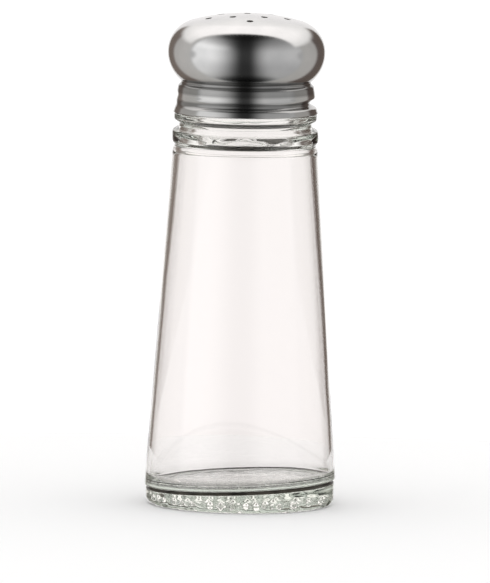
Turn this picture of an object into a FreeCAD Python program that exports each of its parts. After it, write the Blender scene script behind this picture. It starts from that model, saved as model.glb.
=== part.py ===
import FreeCAD, Part
import math
import os
from FreeCAD import Vector

# A table shaker: a tapered clear glass jar with a thick stippled base and a screw neck, closed by a
# one-piece stamped steel mushroom cap. Millimetres, +Z up, origin at the centre of the resting face.
# Each outline is drawn in the XZ plane as (radius, height) and turned about Z.

# Overall sizes
TOTAL_HEIGHT = 114.3
BASE_RADIUS = 22.2

# Glass jar, outside
FOOT_RADIUS = 21.9
FOOT_HEEL = 1.6
FOOT_GROOVE_Z = 4.8
FOOT_GROOVE_RADIUS = 21.4
BODY_START_Z = 5.35
BODY_TOP_Z = 82.9
BODY_TOP_RADIUS = 16.8
SHOULDER_GROOVE_Z = 83.7
SHOULDER_GROOVE_RADIUS = 16.3
SHOULDER_BEAD_LOW_Z = 84.6
SHOULDER_BEAD_HIGH_Z = 87.2
SHOULDER_BEAD_RADIUS = 17.0
WAIST_LOW_Z = 88.1
WAIST_HIGH_Z = 88.9
WAIST_RADIUS = 15.4
SEAT_BEAD_LOW_Z = 89.6
SEAT_BEAD_TOP_Z = 91.1
SEAT_BEAD_RADIUS = 16.6
NECK_RADIUS = 13.7
RIM_Z = 98.6

# Glass jar, inside and underneath
WALL = 1.6
MOUTH_RADIUS = 11.9
NECK_BORE_END_Z = 88.0
CAVITY_SHOULDER_Z = 82.0
FLOOR_Z = 6.0
FLOOR_CORNER = 2.6
PUNT_RADIUS = 14.6
PUNT_Z = 1.2
FOOT_RING_INNER = 15.6

# Screw threads: one start, right-handed. Angles are measured about Z from +X
PITCH = 3.2
RUNOUT_DEG = 45.0
JAR_THREAD_Z_AT_X = 95.9
JAR_THREAD_FROM_DEG = -200.0
JAR_THREAD_TO_DEG = 60.0
JAR_THREAD_HEIGHT = 0.6
JAR_THREAD_WIDTH = 1.8
JAR_CURL_RADIUS = 9.0
CAP_GROOVE_Z_AT_X = 93.7
CAP_GROOVE_FROM_DEG = -105.0
CAP_GROOVE_TO_DEG = 125.0
CAP_GROOVE_DEPTH = 1.05
CAP_GROOVE_WIDTH = 2.3
CAP_CURL_RADIUS = 24.0
JAR_EMBED = 0.15
CAP_EMBED = 1.0

# Mushroom cap, outside skin; the inside skin is the same curves inset by the sheet thickness
SHEET = 0.45
CROWN_RADIUS = 47.5
SHOULDER_RADIUS = 7.5
BULB_RADIUS = 8.6
BULB_WIDEST = 18.3
CREASE_RADIUS = 1.2
COLLAR_TOP_RADIUS = 15.4
COLLAR_RADIUS = 16.1
COLLAR_BULGE_Z = 95.9
FLARE_TOP_Z = 92.5
LIP_RADIUS = 16.8
LIP_Z = 91.3
FLARE_BEND = 0.8

# Shaking holes: one in the middle, an inner ring and an outer ring turned half a step from it
HOLE_RADIUS = 0.8
HOLES_PER_RING = 5
INNER_RING_RADIUS = 6.2
OUTER_RING_RADIUS = 9.6
OUTER_RING_START_DEG = -86.0
PUNCH_DEPTH = 6.0


def at(radius, z):
    return Vector(radius, 0, z)


def rounded_edges(corners):
    """Straight runs between (radius, z, fillet) corners, with a tangent arc at each filleted corner."""
    points = [at(r, z) for r, z, _ in corners]
    edges = []
    start = points[0]
    for i in range(1, len(points)):
        fillet = corners[i][2]
        if fillet == 0 or i == len(points) - 1:
            edges.append(Part.LineSegment(start, points[i]).toShape())
            start = points[i]
            continue
        back = (points[i - 1] - points[i]).normalize()
        ahead = (points[i + 1] - points[i]).normalize()
        half = back.getAngle(ahead) / 2
        reach = fillet / math.tan(half)
        first = points[i] + back * reach
        last = points[i] + ahead * reach
        middle_way = (back + ahead).normalize()
        centre = points[i] + middle_way * (fillet / math.sin(half))
        middle = centre - middle_way * fillet
        edges.append(Part.LineSegment(start, first).toShape())
        edges.append(Part.Arc(first, middle, last).toShape())
        start = last
    return edges


def turned(edges):
    """The solid that a closed outline makes when it is turned once about Z."""
    face = Part.Face(Part.Wire(Part.__sortEdges__(edges)))
    return face.revolve(Vector(0, 0, 0), Vector(0, 0, 1), 360)


def jar_outline():
    """Up the outside of the jar from the middle of the underside, over the rim and down the inside."""
    slope = (BASE_RADIUS - BODY_TOP_RADIUS) / (BODY_TOP_Z - BODY_START_Z)
    cavity_top = BODY_TOP_RADIUS + slope * (BODY_TOP_Z - CAVITY_SHOULDER_Z) - WALL
    cavity_floor = BASE_RADIUS + slope * (BODY_START_Z - FLOOR_Z) - WALL
    return [
        (0, PUNT_Z, 0),
        (PUNT_RADIUS, PUNT_Z, 0.6),
        (FOOT_RING_INNER, 0, 0.4),
        (FOOT_RADIUS, 0, FOOT_HEEL),
        (FOOT_RADIUS, FOOT_GROOVE_Z - 0.5, 0.3),
        (FOOT_GROOVE_RADIUS, FOOT_GROOVE_Z, 0.2),
        (BASE_RADIUS, BODY_START_Z, 0.5),
        (BODY_TOP_RADIUS, BODY_TOP_Z, 0.8),
        (SHOULDER_GROOVE_RADIUS, SHOULDER_GROOVE_Z, 0.3),
        (SHOULDER_BEAD_RADIUS, SHOULDER_BEAD_LOW_Z, 0.7),
        (SHOULDER_BEAD_RADIUS, SHOULDER_BEAD_HIGH_Z, 0.8),
        (WAIST_RADIUS, WAIST_LOW_Z, 0.3),
        (WAIST_RADIUS, WAIST_HIGH_Z, 0.3),
        (SEAT_BEAD_RADIUS, SEAT_BEAD_LOW_Z, 0.7),
        (SEAT_BEAD_RADIUS, SEAT_BEAD_TOP_Z, 0.3),
        (NECK_RADIUS, SEAT_BEAD_TOP_Z, 0.3),
        (NECK_RADIUS, RIM_Z, 0.8),
        (MOUTH_RADIUS, RIM_Z, 0.8),
        (MOUTH_RADIUS, NECK_BORE_END_Z, 2.5),
        (cavity_top, CAVITY_SHOULDER_Z, 4.0),
        (cavity_floor, FLOOR_Z, FLOOR_CORNER),
        (0, FLOOR_Z, 0),
        (0, PUNT_Z, 0),
    ]


def screw_bar(base, crest, width, z_at_x, from_deg, to_deg, curl_radius):
    """A helical bar with its flat side at radius base and its rounded side reaching crest.
    At both ends it runs on for RUNOUT_DEG along an arc of curl_radius that leaves the helix sideways."""
    low = at(base, -width / 2)
    high = at(base, width / 2)
    section = Part.Wire(
        [Part.Arc(low, at(crest, 0), high).toShape(), Part.LineSegment(high, low).toShape()]
    )
    turns = (to_deg - from_deg) / 360
    path = Part.Wire(Part.makeHelix(PITCH, PITCH * turns, base).Edges)
    full = path.makePipeShell([section], True, True)

    axis = Vector(0, 0, 1)
    origin = Vector(0, 0, 0)
    curl_centre = at(base - curl_radius, 0)
    foot = Part.Face(section).revolve(curl_centre, axis, -RUNOUT_DEG)
    head = Part.Face(section).revolve(curl_centre, axis, RUNOUT_DEG)
    head.rotate(origin, axis, to_deg - from_deg)
    head.translate(Vector(0, 0, PITCH * turns))
    bar = full.fuse([foot, head])
    bar.rotate(origin, axis, from_deg)
    bar.translate(Vector(0, 0, z_at_x + PITCH * from_deg / 360))
    return bar


def on_circle(centre, radius, direction):
    return centre + Vector(direction).normalize() * radius


def cap_skin(inset):
    """The cap's skin from the crown down to the lip, moved inwards by inset, as a list of edges."""
    crown_centre = at(0, TOTAL_HEIGHT - CROWN_RADIUS)
    shoulder_x = BULB_WIDEST - SHOULDER_RADIUS
    rise = math.sqrt((CROWN_RADIUS - SHOULDER_RADIUS) ** 2 - shoulder_x**2)
    widest_z = crown_centre.z + rise
    shoulder_centre = at(shoulder_x, widest_z)
    bulb_centre = at(BULB_WIDEST - BULB_RADIUS, widest_z)
    crease_x = COLLAR_TOP_RADIUS + CREASE_RADIUS
    drop = math.sqrt((BULB_RADIUS + CREASE_RADIUS) ** 2 - (crease_x - bulb_centre.x) ** 2)
    crease_centre = at(crease_x, widest_z - drop)

    crown = CROWN_RADIUS - inset
    shoulder = SHOULDER_RADIUS - inset
    bulb = BULB_RADIUS - inset
    crease = CREASE_RADIUS + inset
    collar_top = at(COLLAR_TOP_RADIUS - inset, crease_centre.z)

    to_shoulder = (shoulder_centre - crown_centre).normalize()
    to_crease = (crease_centre - bulb_centre).normalize()
    crown_end = on_circle(crown_centre, crown, to_shoulder)
    widest = at(BULB_WIDEST - inset, widest_z)
    bulb_end = on_circle(bulb_centre, bulb, to_crease)
    half_crown = on_circle(crown_centre, crown, Vector(0, 0, 1) + to_shoulder)
    half_shoulder = on_circle(shoulder_centre, shoulder, Vector(1, 0, 0) + to_shoulder)
    half_bulb = on_circle(bulb_centre, bulb, Vector(1, 0, 0) + to_crease)
    half_crease = on_circle(crease_centre, crease, Vector(-1, 0, 0) - to_crease)
    edges = [
        Part.Arc(at(0, TOTAL_HEIGHT - inset), half_crown, crown_end).toShape(),
        Part.Arc(crown_end, half_shoulder, widest).toShape(),
        Part.Arc(widest, half_bulb, bulb_end).toShape(),
        Part.Arc(bulb_end, half_crease, collar_top).toShape(),
    ]
    collar = [
        (COLLAR_TOP_RADIUS - inset, crease_centre.z, 0),
        (COLLAR_RADIUS - inset, COLLAR_BULGE_Z, FLARE_BEND),
        (COLLAR_RADIUS - inset, FLARE_TOP_Z, FLARE_BEND + inset),
        (LIP_RADIUS - inset, LIP_Z, 0),
    ]
    return edges + rounded_edges(collar)


def holes():
    """Upright punches for the shaking holes."""
    spots = [(0, 0)]
    step = 360 / HOLES_PER_RING
    for i in range(HOLES_PER_RING):
        spots.append((OUTER_RING_RADIUS, OUTER_RING_START_DEG + step * i))
        spots.append((INNER_RING_RADIUS, OUTER_RING_START_DEG + step * (i + 0.5)))
    punches = []
    for ring, degrees in spots:
        angle = math.radians(degrees)
        foot = Vector(ring * math.cos(angle), ring * math.sin(angle), TOTAL_HEIGHT - PUNCH_DEPTH)
        punches.append(Part.makeCylinder(HOLE_RADIUS, PUNCH_DEPTH + 1, foot))
    return punches


def glass_jar():
    body = turned(rounded_edges(jar_outline()))
    thread = screw_bar(
        NECK_RADIUS - JAR_EMBED,
        NECK_RADIUS + JAR_THREAD_HEIGHT,
        JAR_THREAD_WIDTH,
        JAR_THREAD_Z_AT_X,
        JAR_THREAD_FROM_DEG,
        JAR_THREAD_TO_DEG,
        JAR_CURL_RADIUS,
    )
    return body.fuse(thread).removeSplitter()


def cap_form(inset):
    """The cap without its holes as a filled form, moved inwards by inset, with its rolled screw groove."""
    bottom = Part.LineSegment(at(LIP_RADIUS - inset, LIP_Z), at(0, LIP_Z)).toShape()
    middle = Part.LineSegment(at(0, LIP_Z), at(0, TOTAL_HEIGHT - inset)).toShape()
    form = turned(cap_skin(inset) + [bottom, middle])
    wall = COLLAR_RADIUS - inset
    groove = screw_bar(
        wall + CAP_EMBED,
        wall - CAP_GROOVE_DEPTH,
        CAP_GROOVE_WIDTH,
        CAP_GROOVE_Z_AT_X,
        CAP_GROOVE_FROM_DEG,
        CAP_GROOVE_TO_DEG,
        CAP_CURL_RADIUS,
    )
    return form.cut(groove)


def mushroom_cap():
    return cap_form(0).cut([cap_form(SHEET)] + holes()).removeSplitter()


def main():
    os.makedirs("parts", exist_ok=True)
    for name, make in (("glass_jar", glass_jar), ("mushroom_cap", mushroom_cap)):
        shape = make()
        box = shape.BoundBox
        print(name, "valid", shape.isValid(), "solids", len(shape.Solids),
              "volume", round(shape.Volume, 1), "z", round(box.ZMin, 3), round(box.ZMax, 3))
        shape.exportStep(f"parts/{name}.step")


main()
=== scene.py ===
import math

import bpy
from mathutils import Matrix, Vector, noise
from mathutils.geometry import delaunay_2d_cdt


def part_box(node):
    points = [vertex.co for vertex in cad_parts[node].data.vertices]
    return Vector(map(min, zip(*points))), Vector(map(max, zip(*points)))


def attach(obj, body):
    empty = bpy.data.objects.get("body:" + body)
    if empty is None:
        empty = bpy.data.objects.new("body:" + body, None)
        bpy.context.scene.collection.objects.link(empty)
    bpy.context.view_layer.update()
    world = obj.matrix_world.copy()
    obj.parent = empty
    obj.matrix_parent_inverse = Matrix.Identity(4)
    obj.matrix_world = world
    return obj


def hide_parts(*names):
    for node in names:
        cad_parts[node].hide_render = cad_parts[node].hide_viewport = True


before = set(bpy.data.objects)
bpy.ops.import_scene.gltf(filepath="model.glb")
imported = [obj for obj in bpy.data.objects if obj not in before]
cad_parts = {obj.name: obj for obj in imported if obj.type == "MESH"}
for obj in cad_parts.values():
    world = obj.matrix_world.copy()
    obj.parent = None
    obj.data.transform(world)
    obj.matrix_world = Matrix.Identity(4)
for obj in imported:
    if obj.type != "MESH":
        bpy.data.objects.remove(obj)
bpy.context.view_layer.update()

# A table shaker: a tapered clear glass jar with a stippled base, and a one-piece stamped steel
# mushroom cap. The outlines below are (radius, height) in millimetres; meshes are made in metres.

MM = 0.001
CAP_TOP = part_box("mushroom_cap")[1].z / MM
RIM_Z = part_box("glass_jar")[1].z / MM
BASE_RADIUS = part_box("glass_jar")[1].x / MM


# ---------------------------------------------------------------- outlines

def filleted(corners, step):
    """A polyline through (radius, z, fillet) corners, with arcs at the fillets, a point every step."""
    points = [Vector((corners[0][0], corners[0][1]))]

    def run_to(target, spacing):
        start = points[-1]
        count = max(1, math.ceil((target - start).length / spacing))
        for k in range(1, count + 1):
            points.append(start.lerp(target, k / count))

    for i in range(1, len(corners)):
        here = Vector(corners[i][:2])
        fillet = corners[i][2]
        if fillet == 0 or i == len(corners) - 1:
            run_to(here, step)
            continue
        back = (Vector(corners[i - 1][:2]) - here).normalized()
        ahead = (Vector(corners[i + 1][:2]) - here).normalized()
        half = back.angle(ahead) / 2
        reach = fillet / math.tan(half)
        run_to(here + back * reach, step)
        centre = here + (back + ahead).normalized() * (fillet / math.sin(half))
        first = here + back * reach - centre
        turn = first.angle_signed(here + ahead * reach - centre)
        count = max(3, math.ceil(abs(turn) * fillet / min(step, 0.16)))
        for k in range(1, count + 1):
            angle = -turn * k / count
            c, s = math.cos(angle), math.sin(angle)
            points.append(centre + Vector((c * first.x - s * first.y, s * first.x + c * first.y)))
    return points


def bell(x):
    """1 at 0, falling smoothly to 0 at 1 and beyond."""
    x = min(1.0, abs(x))
    return (1 - x * x) ** 2


def ramp(x, low, high):
    t = max(0.0, min(1.0, (x - low) / (high - low)))
    return t * t * (3 - 2 * t)


def ripple(a, b, c, seed, octaves=2):
    """Smooth noise from about -1 to 1."""
    return noise.fractal(Vector((a, b, c + 17.3 * seed)), 0.6, 2.1, octaves)


# ---------------------------------------------------------------- mesh helpers

def make_object(name, verts, faces, materials, body, stands_for=(), second=()):
    """A smooth mesh object; the faces listed in second take the second material."""
    mesh = bpy.data.meshes.new(name)
    mesh.from_pydata([(x * MM, y * MM, z * MM) for x, y, z in verts], [], faces)
    for p in mesh.polygons:
        p.use_smooth = True
    for material in materials:
        mesh.materials.append(material)
    for i in second:
        mesh.polygons[i].material_index = 1
    obj = bpy.data.objects.new(name, mesh)
    bpy.context.scene.collection.objects.link(obj)
    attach(obj, body)
    if stands_for:
        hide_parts(*stands_for)
    return obj


def ring_band(first_ring, next_ring, count):
    """Quads between two rings of count vertices, each ring given by its first index."""
    return [
        (first_ring + j, first_ring + (j + 1) % count, next_ring + (j + 1) % count, next_ring + j)
        for j in range(count)
    ]


# ---------------------------------------------------------------- glass jar

THREAD_PITCH = 3.2
GLASS_THREAD_Z = 95.9
GLASS_THREAD_SPAN = (-230.0, 90.0)
GLASS_THREAD_HEIGHT = 0.55
FLOOR_Z = 5.5
PUNT_Z = 1.2
PUNT_RADIUS = 15.6
UNDER_RADIUS = 20.0

JAR_OUTSIDE = [
    (UNDER_RADIUS, 0.0, 0.0),
    (21.88, 0.0, 1.8),
    (21.88, 4.3, 0.3),
    (21.35, 4.8, 0.12),
    (BASE_RADIUS, 5.35, 0.4),
    (16.8, 82.9, 1.2),
    (16.3, 83.7, 0.35),
    (17.0, 84.6, 0.9),
    (17.0, 87.2, 1.0),
    (15.4, 88.1, 0.3),
    (15.4, 88.9, 0.35),
    (16.6, 89.6, 0.8),
    (16.6, 91.1, 0.5),
    (13.7, 91.1, 0.4),
    (13.7, RIM_Z, 0.85),
    (11.9, RIM_Z, 0.85),
    (11.9, 88.0, 3.0),
    (15.4, 82.0, 4.5),
    (18.8, 40.0, 600.0),
    (21.3, FLOOR_Z, 2.2),
    (0.6, FLOOR_Z, 0.0),
]
JAR_SEGMENTS = 400
KNOB_SPACING = 2.4
KNOB_HEIGHT = 1.0
KNOB_GRAIN = 0.09
KNOB_REACH = 0.62
GRAIN_SIZE = 0.9
# where the line of painted shade goes: the groove band round the top of the base, outside this radius
GROOVE_SHADE_Z = (4.38, 5.12)
GROOVE_SHADE_RADIUS = 21.0

INSIDE_WAVE = 0.06
INSIDE_RIPPLE = 0.012
FLOOR_WAVE = 0.05
FLANK_WAVE = 0.02
BEAD_WAVE = 0.05
BASE_TILT = 0.045
BASE_TILT_Z = 5.3
THREAD_BAND = (91.6, 98.2)
THREAD_HALF_WIDTH = 1.1
THREAD_RUNOUT_DEG = 40
UNDER_STEPS = 76


def jar_point(radius, z, angle, inside):
    """Where an outline point goes once the thread, the glass's waves and the stipple are added."""
    c, s = math.cos(angle), math.sin(angle)
    x, y = radius * c, radius * s
    if inside:
        depth = ramp(z, FLOOR_Z + 1.0, FLOOR_Z + 9.0) * (1 - ramp(z, 78.0, 86.0))
        wave = INSIDE_WAVE * ripple(c * 0.9, s * 0.9, z / 24.0, 1, 1)
        wave += INSIDE_RIPPLE * ripple(c * 2.0, s * 2.0, z / 9.0, 2, 1)
        radius += depth * wave
        floor = 1 - ramp(z, FLOOR_Z + 0.2, FLOOR_Z + 2.5)
        z += floor * FLOOR_WAVE * ripple(x / 7.0, y / 7.0, 0.0, 3)
    else:
        flank = ramp(z, 7.0, 14.0) * (1 - ramp(z, 78.0, 82.0))
        radius -= flank * FLANK_WAVE * (1 + ripple(c * 1.2, s * 1.2, z / 18.0, 4, 1))
        bead = ramp(z, 83.4, 84.4) * (1 - ramp(z, 90.5, 91.3))
        radius -= bead * BEAD_WAVE * (1 + ripple(c * 2.3, s * 2.3, z / 3.0, 5))
        if THREAD_BAND[0] < z < THREAD_BAND[1] and radius > 12.5:
            radius += glass_thread(z, math.degrees(angle))
        x, y = radius * c, radius * s
        heel = 1 - ramp(z, 0.0, 2.4)
        z += stipple(x, y) * heel * ramp(radius, UNDER_RADIUS - 0.01, UNDER_RADIUS + 0.2)
    tilt = bell((z - BASE_TILT_Z) / 5.0) * ramp(z, 0.3, 3.0)
    z += tilt * BASE_TILT * radius * c
    return radius * c, radius * s, z


def glass_thread(z, degrees):
    """How far the screw thread stands out of the neck at a height and an angle."""
    start, end = GLASS_THREAD_SPAN
    raised = 0.0
    for turn in (degrees - 360, degrees):
        if start < turn < end:
            fade = ramp(turn, start, start + THREAD_RUNOUT_DEG)
            fade *= 1 - ramp(turn, end - THREAD_RUNOUT_DEG, end)
            off = z - GLASS_THREAD_Z - THREAD_PITCH * turn / 360
            raised += GLASS_THREAD_HEIGHT * fade * bell(off / THREAD_HALF_WIDTH)
    return raised


def stipple(x, y):
    """Height of the cast stipple under the base: irregular close-set knobs."""
    near, _ = noise.voronoi(Vector((x / KNOB_SPACING, y / KNOB_SPACING, 0.37)))
    knob = 1 - min(1.0, near[0] / KNOB_REACH)
    grain = KNOB_GRAIN * ripple(x / GRAIN_SIZE, y / GRAIN_SIZE, 0.0, 6)
    return max(0.0, KNOB_HEIGHT * ramp(knob, 0.0, 1.0) + grain)


def build_jar(materials):
    count = JAR_SEGMENTS
    verts, faces = [], []
    outline = filleted(JAR_OUTSIDE, 0.55)
    rim = next(i for i, p in enumerate(outline) if p.y > RIM_Z - 0.9 and p.x < 12.8)
    rings = []
    for i, p in enumerate(outline):
        rings.append(len(verts))
        for j in range(count):
            angle = 2 * math.pi * j / count
            verts.append(jar_point(p.x, p.y, angle, i > rim))
    # faces in the base's groove band, which take the painted shade
    groove_shade_faces = []
    for p, a, b in zip(outline, rings, rings[1:]):
        if GROOVE_SHADE_Z[0] < p.y < GROOVE_SHADE_Z[1] and p.x > GROOVE_SHADE_RADIUS:
            groove_shade_faces += range(len(faces), len(faces) + count)
        faces += ring_band(a, b, count)
    verts.append((0.0, 0.0, FLOOR_Z))
    middle = len(verts) - 1
    faces += [(rings[-1] + j, rings[-1] + (j + 1) % count, middle) for j in range(count)]

    # the underside: knobs all over, in a shallow recess inside the resting ring
    under = []
    for i in range(1, UNDER_STEPS):
        radius = UNDER_RADIUS * (1 - i / UNDER_STEPS)
        under.append(len(verts))
        for j in range(count):
            angle = 2 * math.pi * j / count
            x, y = radius * math.cos(angle), radius * math.sin(angle)
            verts.append((x, y, PUNT_Z * ramp(PUNT_RADIUS - radius, 0.0, 1.3) + stipple(x, y)))
    faces += ring_band(under[0], rings[0], count)
    for a, b in zip(under, under[1:]):
        faces += ring_band(b, a, count)
    verts.append((0.0, 0.0, PUNT_Z + stipple(0.0, 0.0)))
    middle = len(verts) - 1
    faces += [(under[-1] + (j + 1) % count, under[-1] + j, middle) for j in range(count)]
    return make_object("jar_glass", verts, faces, materials, "jar", ["glass_jar"], groove_shade_faces)


# ---------------------------------------------------------------- mushroom cap

SHEET = 0.45
CROWN_RADIUS = 47.5
SHOULDER_RADIUS = 7.5
BULB_RADIUS = 8.6
BULB_WIDEST = 18.28
CREASE_RADIUS = 0.5
CREASE_END_DEG = 225.0
COLLAR_TOP = 15.05
COLLAR_EDGE = 15.72
COLLAR = 16.08
LIP_RADIUS = 16.78
LIP_Z = 91.3
CROWN_TOP = round(CAP_TOP, 1)
PLATE_RADIUS = 12.3

HOLE_RADIUS = 0.78
INNER_RING = 6.2
OUTER_RING = 9.6
OUTER_START_DEG = -86.0

GROOVE_Z = 93.7
GROOVE_SPAN = (-178.0, 210.0)
GROOVE_SHALLOW = 0.55
GROOVE_DEPTH = 1.3
GROOVE_HALF_WIDTH = 1.3
GROOVE_BAND = (91.6, 98.0)
CAP_SEGMENTS = 320
HOLE_SEGMENTS = 36
HOLE_HOOPS = (0.0, 0.05, 0.13, 0.25, 0.42)
PLATE_SPACING = 0.42
ROW_SPACING = PLATE_SPACING * 0.866
DISH_DEPTH = 0.05
DISH_WIDTH = 0.28


def arc_points(centre, radius, start_deg, end_deg, step):
    sweep = math.radians(end_deg - start_deg)
    count = max(2, math.ceil(abs(sweep) * radius / step))
    made = []
    for k in range(count + 1):
        angle = math.radians(start_deg) + sweep * k / count
        made.append(Vector((centre[0] + radius * math.cos(angle), centre[1] + radius * math.sin(angle))))
    return made


def cap_outline(inset, step):
    """The cap's skin from the edge of the pierced plate to the lip, moved inwards by inset."""
    crown_z = CROWN_TOP - CROWN_RADIUS
    shoulder_x = BULB_WIDEST - SHOULDER_RADIUS
    widest_z = crown_z + math.sqrt((CROWN_RADIUS - SHOULDER_RADIUS) ** 2 - shoulder_x**2)
    bulb_x = BULB_WIDEST - BULB_RADIUS
    crease_x = COLLAR_TOP + CREASE_RADIUS
    drop = math.sqrt((BULB_RADIUS + CREASE_RADIUS) ** 2 - (crease_x - bulb_x) ** 2)
    crease_z = widest_z - drop
    to_shoulder = math.degrees(math.atan2(widest_z - crown_z, shoulder_x))
    to_crease = -math.degrees(math.atan2(drop, crease_x - bulb_x))
    plate_deg = math.degrees(math.acos(PLATE_RADIUS / (CROWN_RADIUS - inset)))

    points = []
    if plate_deg > to_shoulder:
        points += arc_points((0, crown_z), CROWN_RADIUS - inset, plate_deg, to_shoulder, step)
    points += arc_points((shoulder_x, widest_z), SHOULDER_RADIUS - inset, to_shoulder, 0, step)[1:]
    points += arc_points((bulb_x, widest_z), BULB_RADIUS - inset, 0, to_crease, step)[1:]
    crease = arc_points((crease_x, crease_z), CREASE_RADIUS + inset, to_crease + 180, CREASE_END_DEG, step)
    points += crease[1:]
    out = COLLAR_EDGE - inset - crease[-1].x
    collar = [
        (crease[-1].x, crease[-1].y, 0),
        (COLLAR_EDGE - inset, crease[-1].y - out, 0.7 - inset),
        (COLLAR - inset, 95.4, 2.0 - inset),
        (COLLAR - inset, 93.1, 0.6),
        (16.4 - inset, 92.5, 2.0 + inset),
        (LIP_RADIUS - inset, LIP_Z, 0),
    ]
    return points + filleted(collar, step)[1:]


def grooved(radius, z, angle):
    """A collar point's radius once the screw groove is rolled into it. The groove runs in level and
    shallow round the front, is deepest on the right, climbs round the back and fades out on the left."""
    if not GROOVE_BAND[0] <= z <= GROOVE_BAND[1]:
        return radius
    degrees = math.degrees(angle)
    cut = 0.0
    for turn in (degrees - 360, degrees, degrees + 360):
        if not GROOVE_SPAN[0] < turn < GROOVE_SPAN[1]:
            continue
        middle = GROOVE_Z + THREAD_PITCH * max(0.0, turn) / 360
        depth = ramp(turn, GROOVE_SPAN[0], -120) * GROOVE_SHALLOW
        depth += (GROOVE_DEPTH - GROOVE_SHALLOW) * ramp(turn, -62, -5)
        depth *= 1 - ramp(turn, 110, GROOVE_SPAN[1])
        width = GROOVE_HALF_WIDTH * (0.75 + 0.25 * depth / GROOVE_DEPTH)
        cut = max(cut, depth * bell((z - middle) / width))
    return radius - cut


def hole_centres():
    spots = [(0.0, 0.0)]
    for i in range(5):
        for ring, turn in ((OUTER_RING, i), (INNER_RING, i + 0.5)):
            angle = math.radians(OUTER_START_DEG + 72 * turn)
            spots.append((ring * math.cos(angle), ring * math.sin(angle)))
    return spots


def plate_z(x, y, spots, inset):
    """Height of the pierced plate, which dishes a little into each punched hole."""
    z = CROWN_TOP - CROWN_RADIUS + math.sqrt((CROWN_RADIUS - inset) ** 2 - x * x - y * y)
    near = min(math.hypot(x - a, y - b) for a, b in spots) - HOLE_RADIUS
    return z - DISH_DEPTH * math.exp(-((near / DISH_WIDTH) ** 1.3) if near > 0 else 0.0)


def build_cap(materials):
    count = CAP_SEGMENTS
    spots = hole_centres()
    verts, faces = [], []

    turns = [2 * math.pi * j / count for j in range(count)]
    flat = [Vector((PLATE_RADIUS * math.cos(turn), PLATE_RADIUS * math.sin(turn))) for turn in turns]
    hole_rings = []
    around = HOLE_SEGMENTS
    for a, b in spots:
        for spread in HOLE_HOOPS:
            if spread == 0.0:
                hole_rings.append(len(flat))
            for k in range(around):
                angle = 2 * math.pi * (k + (0.5 if spread in (0.05, 0.25) else 0)) / around
                reach = HOLE_RADIUS + spread
                flat.append(Vector((a + reach * math.cos(angle), b + reach * math.sin(angle))))
    spacing = PLATE_SPACING
    rows = int(PLATE_RADIUS / ROW_SPACING) + 1
    for row in range(-rows, rows + 1):
        y = row * spacing * 0.866
        for col in range(-rows - 4, rows + 5):
            x = (col + 0.5 * (row % 2)) * spacing
            if math.hypot(x, y) > PLATE_RADIUS - 0.28:
                continue
            if min(math.hypot(x - a, y - b) for a, b in spots) < HOLE_RADIUS + 0.62:
                continue
            flat.append(Vector((x, y)))
    hoops = [[(ring + k, ring + (k + 1) % around) for k in range(around)] for ring in hole_rings]
    edges = [(j, (j + 1) % count) for j in range(count)] + [e for hoop in hoops for e in hoop]
    made, _, triangles, _, _, _ = delaunay_2d_cdt(flat, edges, [], 0, 1e-6)
    assert len(made) == len(flat)

    def in_hole(triangle):
        x = sum(made[i].x for i in triangle) / 3
        y = sum(made[i].y for i in triangle) / 3
        return any(math.hypot(x - a, y - b) < HOLE_RADIUS * 0.99 for a, b in spots)

    kept = [tuple(t) for t in triangles if not in_hole(t)]
    # the inside of the cap and the hole walls take the unpolished steel darkened with painted shade
    unpolished_shaded_faces = []
    for inset, flip in ((0.0, False), (SHEET, True)):
        base = len(verts)
        for p in made:
            verts.append((p.x, p.y, plate_z(p.x, p.y, spots, inset)))
        if flip:
            unpolished_shaded_faces += range(len(faces), len(faces) + len(kept))
        for t in kept:
            corner = tuple(base + i for i in t)
            faces.append(tuple(reversed(corner)) if flip else corner)
    under = len(made)
    unpolished_shaded_faces += range(len(faces), len(faces) + len(hole_rings) * around)
    for ring in hole_rings:
        for k in range(around):
            a, b = ring + k, ring + (k + 1) % around
            faces.append((b, a, under + a, under + b))

    # the skirt: down the outside, round the lip and up the inside
    outside = cap_outline(0.0, 0.24)
    inside = cap_outline(SHEET, 0.4)
    lip = arc_points((LIP_RADIUS - SHEET / 2, LIP_Z + 0.12), SHEET / 2, 0, -180, 0.09)[1:-1]
    lip = [Vector((p.x, LIP_Z + (p.y - LIP_Z - 0.12) * 0.5 + 0.05)) for p in lip]
    path = outside[1:] + lip + list(reversed(inside))[:-1]
    rings = [0]
    for p in path:
        rings.append(len(verts))
        for j in range(count):
            angle = 2 * math.pi * j / count
            radius = grooved(p.x, p.y, angle)
            verts.append((radius * math.cos(angle), radius * math.sin(angle), p.y))
    rings.append(under)
    last_outside = len(outside) + len(lip) - 1
    for i, (a, b) in enumerate(zip(rings, rings[1:])):
        if i > last_outside:
            unpolished_shaded_faces += range(len(faces), len(faces) + count)
        faces += [tuple(reversed(f)) for f in ring_band(a, b, count)]
    return make_object("cap_steel", verts, faces, materials, "cap", ["mushroom_cap"], unpolished_shaded_faces)


# ---------------------------------------------------------------- materials

def new_material(name):
    material = bpy.data.materials.new(name)
    material.use_nodes = True
    nodes = material.node_tree.nodes
    return material, nodes, material.node_tree.links, nodes["Principled BSDF"]


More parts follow.
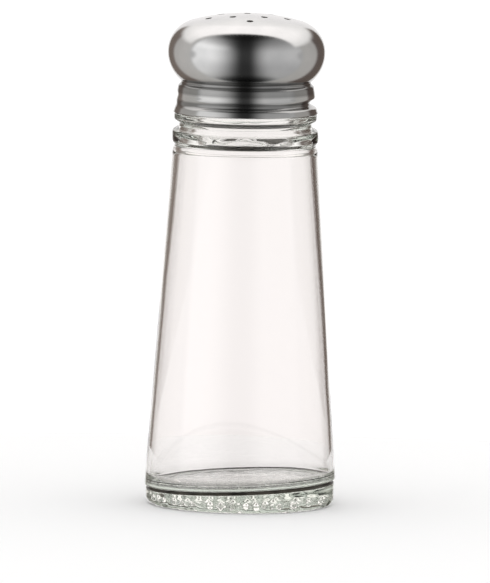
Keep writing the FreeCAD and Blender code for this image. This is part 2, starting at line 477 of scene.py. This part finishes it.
def clear_glass():
    material, nodes, links, shader = new_material("clear_pressed_glass")
    shader.inputs["Base Color"].default_value = (1.0, 0.983, 0.980, 1)
    shader.inputs["Transmission Weight"].default_value = 1.0
    shader.inputs["IOR"].default_value = 1.5
    shader.inputs["Roughness"].default_value = 0.0
    place = nodes.new("ShaderNodeTexCoord")
    waves = nodes.new("ShaderNodeTexNoise")
    waves.inputs["Scale"].default_value = 120.0
    waves.inputs["Detail"].default_value = 1.0
    bump = nodes.new("ShaderNodeBump")
    bump.inputs["Strength"].default_value = 0.03
    bump.inputs["Distance"].default_value = 0.0004
    links.new(place.outputs["Object"], waves.inputs["Vector"])
    links.new(waves.outputs["Fac"], bump.inputs["Height"])
    links.new(bump.outputs["Normal"], shader.inputs["Normal"])
    depth = nodes.new("ShaderNodeVolumeAbsorption")
    depth.inputs["Color"].default_value = (0.78, 0.84, 0.77, 1)
    depth.inputs["Density"].default_value = 36.0
    links.new(depth.outputs["Volume"], nodes["Material Output"].inputs["Volume"])
    return material


# Painted shade on the steel at each height: darker bands where shade falls in the crease under the bulb
# and in the collar's groove, the rest left nearly full.
COLLAR_SHADE_FROM = 91.0
COLLAR_SHADE_TO = 102.0
COLLAR_PAINTED_SHADE = [
    (91.05, 0.80), (92.6, 0.74), (93.3, 0.42), (94.0, 0.42), (94.5, 0.92), (95.6, 0.92), (96.2, 0.50),
    (97.0, 0.54), (98.0, 0.36), (98.8, 0.55), (100.2, 0.95), (101.95, 1.0),
]


def polished_steel():
    """Buffed sheet: fine rings from spinning, faint blotches in the polish, and bands of painted shade
    round the collar.
    """
    material, nodes, links, shader = new_material("polished_stainless")
    shader.inputs["Metallic"].default_value = 1.0
    place = nodes.new("ShaderNodeTexCoord")

    blotch = nodes.new("ShaderNodeTexNoise")
    blotch.inputs["Scale"].default_value = 160.0
    blotch.inputs["Detail"].default_value = 5.0
    links.new(place.outputs["Object"], blotch.inputs["Vector"])
    tone = nodes.new("ShaderNodeValToRGB")
    tone.color_ramp.elements[0].position = 0.3
    tone.color_ramp.elements[0].color = (0.60, 0.60, 0.60, 1)
    tone.color_ramp.elements[1].position = 0.7
    tone.color_ramp.elements[1].color = (0.68, 0.675, 0.672, 1)
    links.new(blotch.outputs["Fac"], tone.inputs["Fac"])

    split = nodes.new("ShaderNodeSeparateXYZ")
    links.new(place.outputs["Object"], split.inputs["Vector"])
    height = nodes.new("ShaderNodeMapRange")
    height.inputs["From Min"].default_value = COLLAR_SHADE_FROM * MM
    height.inputs["From Max"].default_value = COLLAR_SHADE_TO * MM
    links.new(split.outputs["Z"], height.inputs["Value"])
    # painted shade by height, from the table above
    collar_shade = nodes.new("ShaderNodeValToRGB")
    for z, level in COLLAR_PAINTED_SHADE:
        stop = collar_shade.color_ramp.elements.new((z - COLLAR_SHADE_FROM) / (COLLAR_SHADE_TO - COLLAR_SHADE_FROM))
        stop.color = (level, level, level * 0.99, 1)
    links.new(height.outputs["Result"], collar_shade.inputs["Fac"])
    # the steel's blotchy tone times the painted shade
    tone_times_shade = nodes.new("ShaderNodeMix")
    tone_times_shade.data_type = "RGBA"
    tone_times_shade.blend_type = "MULTIPLY"
    tone_times_shade.inputs["Factor"].default_value = 1.0
    links.new(tone.outputs["Color"], tone_times_shade.inputs[6])
    links.new(collar_shade.outputs["Color"], tone_times_shade.inputs[7])
    links.new(tone_times_shade.outputs[2], shader.inputs["Base Color"])

    rough = nodes.new("ShaderNodeMapRange")
    rough.inputs["To Min"].default_value = 0.11
    rough.inputs["To Max"].default_value = 0.17
    links.new(blotch.outputs["Fac"], rough.inputs["Value"])
    links.new(rough.outputs["Result"], shader.inputs["Roughness"])

    stretch = nodes.new("ShaderNodeMapping")
    stretch.inputs["Scale"].default_value = (60.0, 60.0, 2600.0)
    links.new(place.outputs["Object"], stretch.inputs["Vector"])
    lines = nodes.new("ShaderNodeTexNoise")
    lines.inputs["Scale"].default_value = 1.0
    lines.inputs["Detail"].default_value = 3.0
    links.new(stretch.outputs["Vector"], lines.inputs["Vector"])
    bump = nodes.new("ShaderNodeBump")
    bump.inputs["Strength"].default_value = 0.05
    bump.inputs["Distance"].default_value = 0.00005
    links.new(lines.outputs["Fac"], bump.inputs["Height"])
    links.new(bump.outputs["Normal"], shader.inputs["Normal"])
    return material


def unpolished_shaded_steel():
    """The unpolished inside of the cap and the walls of its punched holes, darkened with painted shade so
    the holes read dark.
    """
    material, nodes, links, shader = new_material("unpolished_stainless_painted_shade")
    shader.inputs["Metallic"].default_value = 1.0
    place = nodes.new("ShaderNodeTexCoord")
    stain = nodes.new("ShaderNodeTexNoise")
    stain.inputs["Scale"].default_value = 420.0
    stain.inputs["Detail"].default_value = 4.0
    links.new(place.outputs["Object"], stain.inputs["Vector"])
    tone = nodes.new("ShaderNodeValToRGB")
    # a dark tone: painted shade inside the cap and in its holes, on the unpolished finish
    tone.color_ramp.elements[0].color = (0.16, 0.15, 0.14, 1)
    tone.color_ramp.elements[1].color = (0.34, 0.33, 0.31, 1)
    links.new(stain.outputs["Fac"], tone.inputs["Fac"])
    links.new(tone.outputs["Color"], shader.inputs["Base Color"])
    shader.inputs["Roughness"].default_value = 0.45
    return material


def painted_groove_shade():
    """A dark line of painted shade in the fine groove round the top of the base."""
    material, nodes, links, shader = new_material("groove_painted_shade")
    place = nodes.new("ShaderNodeTexCoord")
    shade_noise = nodes.new("ShaderNodeTexNoise")
    shade_noise.inputs["Scale"].default_value = 260.0
    shade_noise.inputs["Detail"].default_value = 3.0
    links.new(place.outputs["Object"], shade_noise.inputs["Vector"])
    tone = nodes.new("ShaderNodeValToRGB")
    # near-black painted shade, varied a little by noise
    tone.color_ramp.elements[0].position = 0.35
    tone.color_ramp.elements[0].color = (0.022, 0.020, 0.016, 1)
    tone.color_ramp.elements[1].position = 0.75
    tone.color_ramp.elements[1].color = (0.10, 0.09, 0.07, 1)
    links.new(shade_noise.outputs["Fac"], tone.inputs["Fac"])
    links.new(tone.outputs["Color"], shader.inputs["Base Color"])
    shader.inputs["Roughness"].default_value = 0.35
    return material


def pale_floor():
    material, nodes, links, shader = new_material("pale_floor")
    shader.inputs["Base Color"].default_value = (0.9, 0.9, 0.9, 1)
    shader.inputs["Roughness"].default_value = 0.9
    shader.inputs["Specular IOR Level"].default_value = 0.0
    return material


# ---------------------------------------------------------------- studio

FLOOR_RADIUS = 0.34
FLOOR_MIDDLE_Y = -0.2


def build_floor():
    count = 96
    ring = []
    for k in range(count):
        turn = 2 * math.pi * k / count
        ring.append((FLOOR_RADIUS * math.cos(turn), FLOOR_MIDDLE_Y + FLOOR_RADIUS * math.sin(turn), 0))
    mesh = bpy.data.meshes.new("floor")
    mesh.from_pydata(ring, [], [tuple(range(count))])
    mesh.materials.append(pale_floor())
    floor = bpy.data.objects.new("floor", mesh)
    bpy.context.scene.collection.objects.link(floor)
    floor.visible_glossy = False


# The room: how far a direction leans right (-1 to 1) settles the near half, degrees from straight
# away settle the far half. Each near panel is (lean where it starts, lean where it is full, light).
NEAR_DARK = 0.045
LEFT_PANEL = (0.10, 0.85, 1.10)
RIGHT_PANEL = (0.06, 0.55, 0.63)
LEFT_END = 0.6
RIGHT_END = 0.5
# The near half fades with height. Each fade is (height where it starts, where it is full, share lost).
FADES_UP = [(0.2, 0.9, 0.62), (0.8, 1.0, 0.8)]
FADES_DOWN = [(0.0, 0.6, 0.2), (0.82, 1.0, 0.92)]
HIGH_LEFT_LIFT = 0.5
# White backdrop straight away, a dark flag on either side of it, a grey panel beyond each flag.
FAR_ROOM = [
    (-89, 0.63, 0.62, 0.60), (-50, 0.58, 0.56, 0.54), (-43, 0.24, 0.20, 0.18),
    (-21, 0.20, 0.165, 0.14), (-17, 1.02, 1.0, 0.995), (17, 1.02, 1.0, 0.995), (21, 0.15, 0.12, 0.10),
    (50, 0.15, 0.12, 0.11), (57, 0.55, 0.53, 0.51), (89, 0.55, 0.54, 0.52),
]
BRIGHTEST = 1.2
CEILING_LEAN = 0.15
CEILING_LOW = (1.12, 1.10, 1.08, 1)
CEILING_HIGH = (1.45, 1.41, 1.39, 1)
LIGHT_ON_MATT = (1.14, 1.14, 1.14, 1)
BEHIND = (1.1, 1.1, 1.1, 1)


def build_world():
    """A white room with grey and dark panels round the table, as a still-life studio has."""
    world = bpy.data.worlds.new("studio")
    bpy.context.scene.world = world
    world.use_nodes = True
    nodes, links = world.node_tree.nodes, world.node_tree.links
    nodes.clear()

    def feed(socket, value):
        if isinstance(value, bpy.types.NodeSocket):
            links.new(value, socket)
        else:
            socket.default_value = value

    def calc(operation, *values):
        node = nodes.new("ShaderNodeMath")
        node.operation = operation
        for socket, value in zip(node.inputs, values):
            feed(socket, value)
        return node.outputs[0]

    def smooth(value, low, high):
        node = nodes.new("ShaderNodeMapRange")
        node.interpolation_type = "SMOOTHSTEP"
        feed(node.inputs["From Min"], low)
        feed(node.inputs["From Max"], high)
        feed(node.inputs["Value"], value)
        return node.outputs["Result"]

    def mixed(factor, first, second):
        node = nodes.new("ShaderNodeMix")
        node.data_type = "RGBA"
        feed(node.inputs["Factor"], factor)
        feed(node.inputs[6], first)
        feed(node.inputs[7], second)
        return node.outputs[2]

    def scaled(colour, factor):
        node = nodes.new("ShaderNodeVectorMath")
        node.operation = "SCALE"
        feed(node.inputs[0], colour)
        feed(node.inputs["Scale"], factor)
        return node.outputs[0]

    def faded(level, height, fades):
        for start, full, share in fades:
            level = calc("MULTIPLY", level, calc("MULTIPLY_ADD", smooth(height, start, full), -share, 1.0))
        return level

    def near_half(x, z):
        left = calc("MULTIPLY", x, -1.0)
        level = calc("MULTIPLY_ADD", smooth(left, *LEFT_PANEL[:2]), LEFT_PANEL[2], NEAR_DARK)
        level = calc("MULTIPLY_ADD", smooth(x, *RIGHT_PANEL[:2]), RIGHT_PANEL[2], level)
        for lean, end in ((left, LEFT_END), (x, RIGHT_END)):
            edge = smooth(lean, 0.97, 1.0)
            rest = calc("MULTIPLY", level, calc("SUBTRACT", 1.0, edge))
            level = calc("MULTIPLY_ADD", edge, end, rest)
        level = faded(level, z, FADES_UP)
        level = faded(level, calc("MULTIPLY", z, -1.0), FADES_DOWN)
        high_left = calc("MULTIPLY", smooth(left, 0.25, 0.5), smooth(z, 0.25, 0.55))
        return calc("MULTIPLY", level, calc("MULTIPLY_ADD", high_left, HIGH_LEFT_LIFT, 1.0))

    def far_half(x, y):
        """A ramp over degrees from straight away, holding levels as fractions of BRIGHTEST."""
        node = nodes.new("ShaderNodeValToRGB")
        stops = node.color_ramp.elements
        for stop, level in zip(stops, (LEFT_END, RIGHT_END)):
            stop.color = (level / BRIGHTEST,) * 3 + (1,)
        for degrees, *levels in FAR_ROOM:
            stop = stops.new(degrees / 180 + 0.5)
            stop.color = tuple(level / BRIGHTEST for level in levels) + (1,)
        feed(node.inputs["Fac"], calc("MULTIPLY_ADD", calc("ARCTAN2", x, y), 1 / math.pi, 0.5))
        return scaled(node.outputs["Color"], BRIGHTEST)

    place = nodes.new("ShaderNodeTexCoord")
    split = nodes.new("ShaderNodeSeparateXYZ")
    feed(split.inputs["Vector"], place.outputs["Generated"])
    x, y, z = split.outputs
    seen = mixed(smooth(y, -0.08, 0.04), near_half(x, z), far_half(x, y))

    # a bright ceiling over the far half of the table
    over = smooth(calc("MULTIPLY_ADD", x, CEILING_LEAN, y), -0.06, 0.06)
    ceiling = mixed(smooth(z, 0.45, 0.8), CEILING_LOW, CEILING_HIGH)
    seen = mixed(calc("MULTIPLY", over, smooth(z, 0.34, 0.5)), seen, ceiling)

    path = nodes.new("ShaderNodeLightPath")
    seen = mixed(calc("MINIMUM", path.outputs["Diffuse Depth"], 1.0), seen, LIGHT_ON_MATT)
    seen = mixed(path.outputs["Is Camera Ray"], seen, BEHIND)
    background = nodes.new("ShaderNodeBackground")
    feed(background.inputs["Color"], seen)
    output = nodes.new("ShaderNodeOutputWorld")
    feed(output.inputs["Surface"], background.outputs["Background"])


CAMERA_DISTANCE = 3.2
CAMERA_ELEVATION = 6.0
CAMERA_ROLL = 0.9
CAMERA_TARGET = (0.0005, 0.0, 0.0495)
VIEW_HEIGHT = 0.1353


def build_camera():
    data = bpy.data.cameras.new("camera")
    camera = bpy.data.objects.new("camera", data)
    bpy.context.scene.collection.objects.link(camera)
    bpy.context.scene.camera = camera
    data.sensor_width = 36
    data.lens = data.sensor_width * CAMERA_DISTANCE / VIEW_HEIGHT
    data.clip_start, data.clip_end = 0.1, 20
    lift = math.radians(CAMERA_ELEVATION)
    toward = Vector((0, -math.cos(lift), math.sin(lift)))
    camera.location = Vector(CAMERA_TARGET) + toward * CAMERA_DISTANCE
    camera.rotation_euler = (math.radians(90 - CAMERA_ELEVATION), 0, 0)
    camera.rotation_euler.rotate_axis("Z", math.radians(CAMERA_ROLL))


def build_scene():
    build_jar([clear_glass(), painted_groove_shade()])
    build_cap([polished_steel(), unpolished_shaded_steel()])
    build_floor()
    build_world()
    build_camera()
    scene = bpy.context.scene
    scene.view_settings.view_transform = "Standard"
    scene.cycles.max_bounces = 24
    scene.cycles.transmission_bounces = 20
    scene.cycles.glossy_bounces = 12
    scene.cycles.diffuse_bounces = 6


build_scene()
